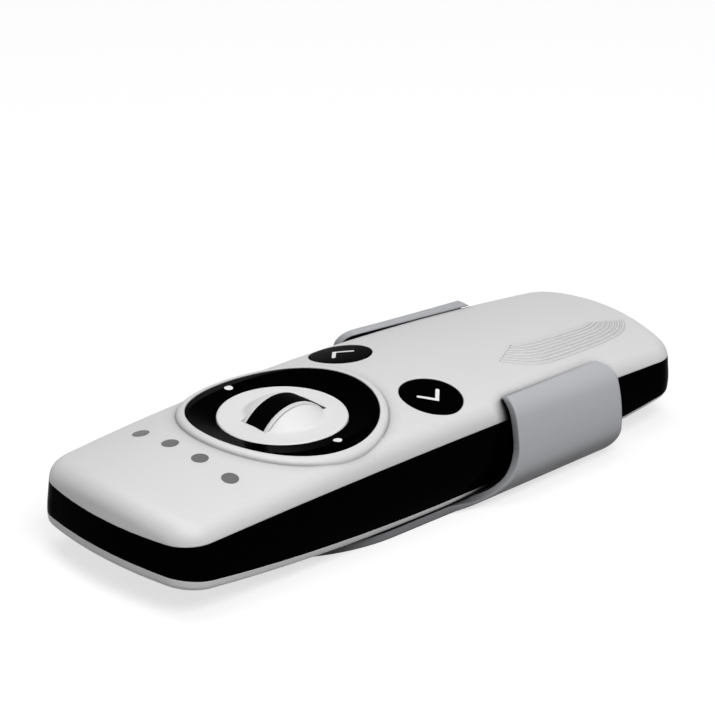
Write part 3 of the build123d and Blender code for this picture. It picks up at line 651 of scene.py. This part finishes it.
@dataclass
class RaisedLines:
    """Fine nested lines that stand up from the far end of the top shell.

    The outermost line is given in plan. The others are smaller copies of it about one point.

    Attributes:
        outline: points of the outermost line in plan, in millimetres.
        middle: the point that the copies shrink towards, in millimetres.
        count: how many lines there are.
        inner_width: width of the innermost line as a share of the outermost.
        inner_length: length of the innermost line as a share of the outermost.
        radius: radius of a line's round section, in millimetres.
        sunk: how deep the middle of that section lies in the shell, in millimetres.
        near_fade: share of a line over which its near end thins to a point.
        far_fade: share over which its far end does.
        steps: points along each line.
        sides: sides of a line's round section.
        taper: power by which a fading line thins.
        drop_height: height that the lines are dropped onto the shell from, in metres.
        drop_reach: how far below it the shell is looked for, in metres.
    """

    outline: tuple[tuple[float, float], ...] = (
        (9.6, 25.4),
        (12.0, 28.3),
        (13.7, 32.0),
        (14.0, 37.0),
        (13.4, 45.0),
        (12.4, 52.5),
        (11.2, 57.3),
        (9.3, 60.4),
        (7.0, 62.4),
    )
    middle: tuple[float, float] = (4.9, 42.4)
    count: int = 8
    inner_width: float = 0.222
    inner_length: float = 0.617
    radius: float = 0.26
    sunk: float = 0.09
    near_fade: float = 0.45
    far_fade: float = 0.12
    steps: int = 90
    sides: int = 8
    taper: float = 0.5
    drop_height: float = 0.1
    drop_reach: float = 1.0

    def build(self, frame: Frame, palette: Palette) -> bpy.types.Object:
        """Make the lines on the shell's own face.

        Args:
            frame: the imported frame.
            palette: the finishes.

        Returns:
            The finished piece.
        """
        mesh = bpy.data.meshes.new("line_plan")
        points = [((x - self.middle[0]) * MM, (y - self.middle[1]) * MM, 0.0) for x, y in self.outline]
        mesh.from_pydata(points, [(index, index + 1) for index in range(len(points) - 1)], [])
        piece = bpy.data.objects.new("raised_lines", mesh)
        bpy.context.scene.collection.objects.link(piece)
        modifier = piece.modifiers.new("nested_lines", "NODES")
        modifier.node_group = self._tree()
        values = {
            "Count": self.count,
            "Inner Share": (self.inner_width, self.inner_length, 1.0),
            "Middle": (self.middle[0] * MM, self.middle[1] * MM, 0.0),
            "Radius": self.radius * MM,
            "Sunk": self.sunk * MM,
            "Near Fade": self.near_fade,
            "Far Fade": self.far_fade,
            "Steps": self.steps,
            "Sides": self.sides,
            "Taper": self.taper,
            "Drop Height": self.drop_height,
            "Drop Reach": self.drop_reach,
            "Shell": frame["nodes"]["top_shell"],
            "Finish": palette.made(RIDGE_GREY),
        }
        for item in modifier.node_group.interface.items_tree:
            if item.in_out == "INPUT" and item.name in values:
                modifier[item.identifier] = values[item.name]
        return finished(piece, Body.REMOTE)

    @staticmethod
    def _tree() -> bpy.types.NodeTree:
        """Build the node tree that nests the lines and lays them on the shell.

        Returns:
            The finished tree.
        """
        net = Net("nested_lines")
        for name, kind in (
            ("Geometry", "Geometry"),
            ("Count", "Int"),
            ("Inner Share", "Vector"),
            ("Middle", "Vector"),
            ("Radius", "Float"),
            ("Sunk", "Float"),
            ("Near Fade", "Float"),
            ("Far Fade", "Float"),
            ("Steps", "Int"),
            ("Sides", "Int"),
            ("Taper", "Float"),
            ("Drop Height", "Float"),
            ("Drop Reach", "Float"),
            ("Shell", "Object"),
            ("Finish", "Material"),
        ):
            net.socket(name, kind)
        plan = net.add("GeometryNodeMeshToCurve", Mesh=net.given("Geometry"))
        smooth = net.add(
            "GeometryNodeCurveSplineType", set_up={"spline_type": "CATMULL_ROM"}, Curve=plan[0]
        )
        stroke = net.add("GeometryNodeResampleCurve", Curve=smooth[0], Count=net.given("Steps"))
        spots = net.add(
            "GeometryNodeMeshLine",
            Count=net.given("Count"),
            Start_Location=net.given("Middle"),
            Offset=(0.0, 0.0, 0.0),
        )
        index = net.add("GeometryNodeInputIndex")
        last = net.maths("SUBTRACT", net.given("Count"), 1.0)
        part = net.maths("DIVIDE", index[0], last)
        share = net.add(
            "ShaderNodeMix",
            set_up={"data_type": "VECTOR"},
            Factor=part,
            A=(1.0, 1.0, 1.0),
            B=net.given("Inner Share"),
        )
        nested = net.add(
            "GeometryNodeInstanceOnPoints", Points=spots[0], Instance=stroke[0], Scale=share["Result"]
        )
        loose = net.add("GeometryNodeRealizeInstances", Geometry=nested[0])
        place = net.add("GeometryNodeInputPosition")
        lift = net.add("ShaderNodeCombineXYZ", Z=net.given("Drop Height"))
        above = net.add("ShaderNodeVectorMath", set_up={"operation": "ADD"}, at=(place[0], lift[0]))
        shell = net.add("GeometryNodeObjectInfo", Object=net.given("Shell"))
        fall = net.add(
            "GeometryNodeRaycast",
            Target_Geometry=shell["Geometry"],
            Source_Position=above[0],
            Ray_Direction=(0.0, 0.0, -1.0),
            Ray_Length=net.given("Drop Reach"),
        )
        depth = net.add("ShaderNodeCombineXYZ", Z=net.maths("MULTIPLY", net.given("Sunk"), -1.0))
        seat = net.add(
            "ShaderNodeVectorMath", set_up={"operation": "ADD"}, at=(fall["Hit Position"], depth[0])
        )
        laid = net.add("GeometryNodeSetPosition", Geometry=loose[0], Position=seat[0])
        along = net.add("GeometryNodeSplineParameter")
        away = net.maths("SUBTRACT", 1.0, along["Factor"])
        near_end = net.maths("DIVIDE", along["Factor"], net.given("Near Fade"))
        far_end = net.maths("DIVIDE", away, net.given("Far Fade"))
        thin = net.maths("MINIMUM", net.maths("MINIMUM", near_end, far_end), 1.0)
        full = net.maths("POWER", thin, net.given("Taper"))
        sized = net.add("GeometryNodeSetCurveRadius", Curve=laid[0], Radius=full)
        ring = net.add(
            "GeometryNodeCurvePrimitiveCircle", Resolution=net.given("Sides"), Radius=net.given("Radius")
        )
        tubes = net.add("GeometryNodeCurveToMesh", Curve=sized[0], Profile_Curve=ring[0], Fill_Caps=True)
        real = net.add("GeometryNodeRealizeInstances", Geometry=tubes[0])
        dressed = net.add("GeometryNodeSetMaterial", Geometry=real[0], Material=net.given("Finish"))
        net.result(dressed[0])
        return net.tree


@dataclass(frozen=True)
class Lamp:
    """A soft square lamp that faces the part.

    Attributes:
        name: name of the lamp.
        place: where it hangs, in metres.
        size: length of its side, in metres.
        power: its power in watts.
    """

    name: str
    place: Point
    size: float
    power: float

    def hang(self) -> None:
        """Put the lamp into the scene."""
        data = bpy.data.lights.new(self.name, "AREA")
        data.size = self.size
        data.energy = self.power
        lamp = bpy.data.objects.new(self.name, data)
        bpy.context.scene.collection.objects.link(lamp)
        lamp.location = self.place
        lamp.rotation_euler = (-Vector(self.place)).to_track_quat("-Z", "Y").to_euler()


@dataclass
class Studio:
    """Floor, lamps, world and camera.

    Attributes:
        azimuth: turn of the camera about the upright, in degrees.
        elevation: height angle of the camera, in degrees.
        roll: tilt of the picture, in degrees.
        distance: distance of the camera from the aim point, in metres.
        aim: the point that the camera circles, in metres.
        offset: sideways and upward step of the camera, in metres.
        lens: focal length in millimetres.
        sensor: width of the sensor in millimetres.
        near: nearest distance that the camera sees, in metres.
        far: farthest one.
        floor_reach: half the side of the floor, in metres.
        floor_drop: gap between the flat back of the part and the floor, in metres.
        floor_roughness: roughness of the floor, which has no shine.
        floor_seen: colour that the camera, a mirror or glass sees on the floor.
        floor_glow: white that the floor shows besides, so that its shadow is light.
        floor_lit: share of the light that the floor throws back on the part.
        fill: light of the surroundings on the part.
        ceiling: how bright the surroundings look overhead.
        white_below: height angle up to which they look white, in degrees.
        ceiling_above: height angle from which they look like the ceiling, in degrees.
        lamps: the lamps.
    """

    azimuth: float = 46.45029
    elevation: float = 24.654806
    roll: float = 0.944467
    distance: float = 0.8200805
    aim: Point = (0.0, -0.01065, 0.0232)
    offset: tuple[float, float] = (0.00503008, 0.00590686)
    lens: float = 216.835
    sensor: float = 36.0
    near: float = 0.01
    far: float = 50.0
    floor_reach: float = 6.0
    floor_drop: float = 0.0001
    floor_roughness: float = 0.9
    floor_seen: float = 0.38
    floor_glow: float = 0.68
    floor_lit: float = 0.25
    fill: float = 0.2
    ceiling: float = 0.3
    white_below: float = 4.0
    ceiling_above: float = 30.0
    lamps: tuple[Lamp, ...] = (
        Lamp("side_soft_lamp", (0.7, -0.3, 0.95), size=0.6, power=9.6),
        Lamp("high_soft_lamp", (-0.15, -0.1, 1.25), size=0.7, power=5.0),
    )

    def build(self) -> None:
        """Set up the whole studio."""
        self._camera()
        self._floor()
        self._world()
        for lamp in self.lamps:
            lamp.hang()
        bpy.context.scene.view_settings.view_transform = "Standard"

    def _camera(self) -> None:
        """Make the camera at the photograph's view."""
        turn, lift, roll = (math.radians(angle) for angle in (self.azimuth, self.elevation, self.roll))
        flat = math.cos(lift)
        back = Vector((math.sin(turn) * flat, -math.cos(turn) * flat, math.sin(lift)))
        level = (-back).cross(Vector((0, 0, 1))).normalized()
        upright = level.cross(-back)
        right = level * math.cos(roll) + upright * math.sin(roll)
        up = upright * math.cos(roll) - level * math.sin(roll)
        place = Vector(self.aim) + back * self.distance + right * self.offset[0] + up * self.offset[1]
        data = bpy.data.cameras.new("studio_camera")
        data.sensor_fit = "HORIZONTAL"
        data.sensor_width = self.sensor
        data.lens = self.lens
        data.clip_start = self.near
        data.clip_end = self.far
        camera = bpy.data.objects.new("studio_camera", data)
        bpy.context.scene.collection.objects.link(camera)
        camera.matrix_world = Matrix.Translation(place) @ Matrix((right, up, back)).transposed().to_4x4()
        bpy.context.scene.camera = camera

    @staticmethod
    def _seen(tree: bpy.types.NodeTree) -> bpy.types.NodeSocket:
        """Add a mask that is 1 where the camera, a mirror or glass looks.

        Args:
            tree: the node tree that needs it.

        Returns:
            The mask's socket.
        """
        path = tree.nodes.new("ShaderNodeLightPath")
        mask = path.outputs["Is Camera Ray"]
        for name in ("Is Glossy Ray", "Is Transmission Ray"):
            either = tree.nodes.new("ShaderNodeMath")
            either.operation = "MAXIMUM"
            tree.links.new(mask, either.inputs[0])
            tree.links.new(path.outputs[name], either.inputs[1])
            mask = either.outputs["Value"]
        return mask

    def _floor(self) -> None:
        """Lay a plain white floor that throws only part of its light back on the object."""
        mesh = bpy.data.meshes.new("studio_floor")
        corners = [
            (x * self.floor_reach, y * self.floor_reach, -self.floor_drop)
            for x, y in ((-1, -1), (1, -1), (1, 1), (-1, 1))
        ]
        mesh.from_pydata(corners, [], [(0, 1, 2, 3)])
        floor = bpy.data.objects.new("studio_floor", mesh)
        bpy.context.scene.collection.objects.link(floor)
        material = bpy.data.materials.new("floor_white")
        material.use_nodes = True
        tree = material.node_tree
        shader = tree.nodes["Principled BSDF"]
        shader.inputs["Roughness"].default_value = self.floor_roughness
        shader.inputs["Specular IOR Level"].default_value = 0.0
        glow = tree.nodes.new("ShaderNodeMath")
        glow.operation = "MULTIPLY"
        glow.inputs[1].default_value = self.floor_glow
        shader.inputs["Emission Color"].default_value = WHITE
        tree.links.new(glow.outputs["Value"], shader.inputs["Emission Strength"])
        blend = tree.nodes.new("ShaderNodeMix")
        blend.data_type = "RGBA"
        blend.inputs["A"].default_value = (self.floor_lit, self.floor_lit, self.floor_lit, 1.0)
        blend.inputs["B"].default_value = (self.floor_seen, self.floor_seen, self.floor_seen, 1.0)
        seen = self._seen(tree)
        tree.links.new(seen, glow.inputs[0])
        tree.links.new(seen, blend.inputs["Factor"])
        tree.links.new(blend.outputs["Result"], shader.inputs["Base Color"])
        mesh.materials.append(material)

    def _world(self) -> None:
        """Fill the surroundings: plain light on the part, and a look that dims overhead."""
        world = bpy.data.worlds.new("studio_world")
        world.use_nodes = True
        bpy.context.scene.world = world
        tree = world.node_tree
        fill = tree.nodes["Background"]
        fill.inputs["Color"].default_value = WHITE
        fill.inputs["Strength"].default_value = self.fill
        where = tree.nodes.new("ShaderNodeTexCoord")
        height = tree.nodes.new("ShaderNodeSeparateXYZ")
        level = tree.nodes.new("ShaderNodeMapRange")
        level.interpolation_type = "SMOOTHSTEP"
        level.inputs["From Min"].default_value = math.sin(math.radians(self.white_below))
        level.inputs["From Max"].default_value = math.sin(math.radians(self.ceiling_above))
        level.inputs["To Min"].default_value = 1.0
        level.inputs["To Max"].default_value = self.ceiling
        shown = tree.nodes.new("ShaderNodeBackground")
        mix = tree.nodes.new("ShaderNodeMixShader")
        tree.links.new(where.outputs["Generated"], height.inputs["Vector"])
        tree.links.new(height.outputs["Z"], level.inputs["Value"])
        tree.links.new(level.outputs["Result"], shown.inputs["Strength"])
        tree.links.new(self._seen(tree), mix.inputs["Fac"])
        tree.links.new(fill.outputs["Background"], mix.inputs[1])
        tree.links.new(shown.outputs["Background"], mix.inputs[2])
        tree.links.new(mix.outputs["Shader"], tree.nodes["World Output"].inputs["Surface"])


def main() -> None:
    """Dress the part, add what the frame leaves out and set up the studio."""
    logging.basicConfig(level=logging.INFO, format="%(name)s: %(message)s")
    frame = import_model()
    palette = Palette(frame)
    for assembly in ASSEMBLIES:
        assembly.dress(frame, palette)
    RaisedLines().build(frame, palette)
    Studio().build()


if __name__ == "__main__":
    main()
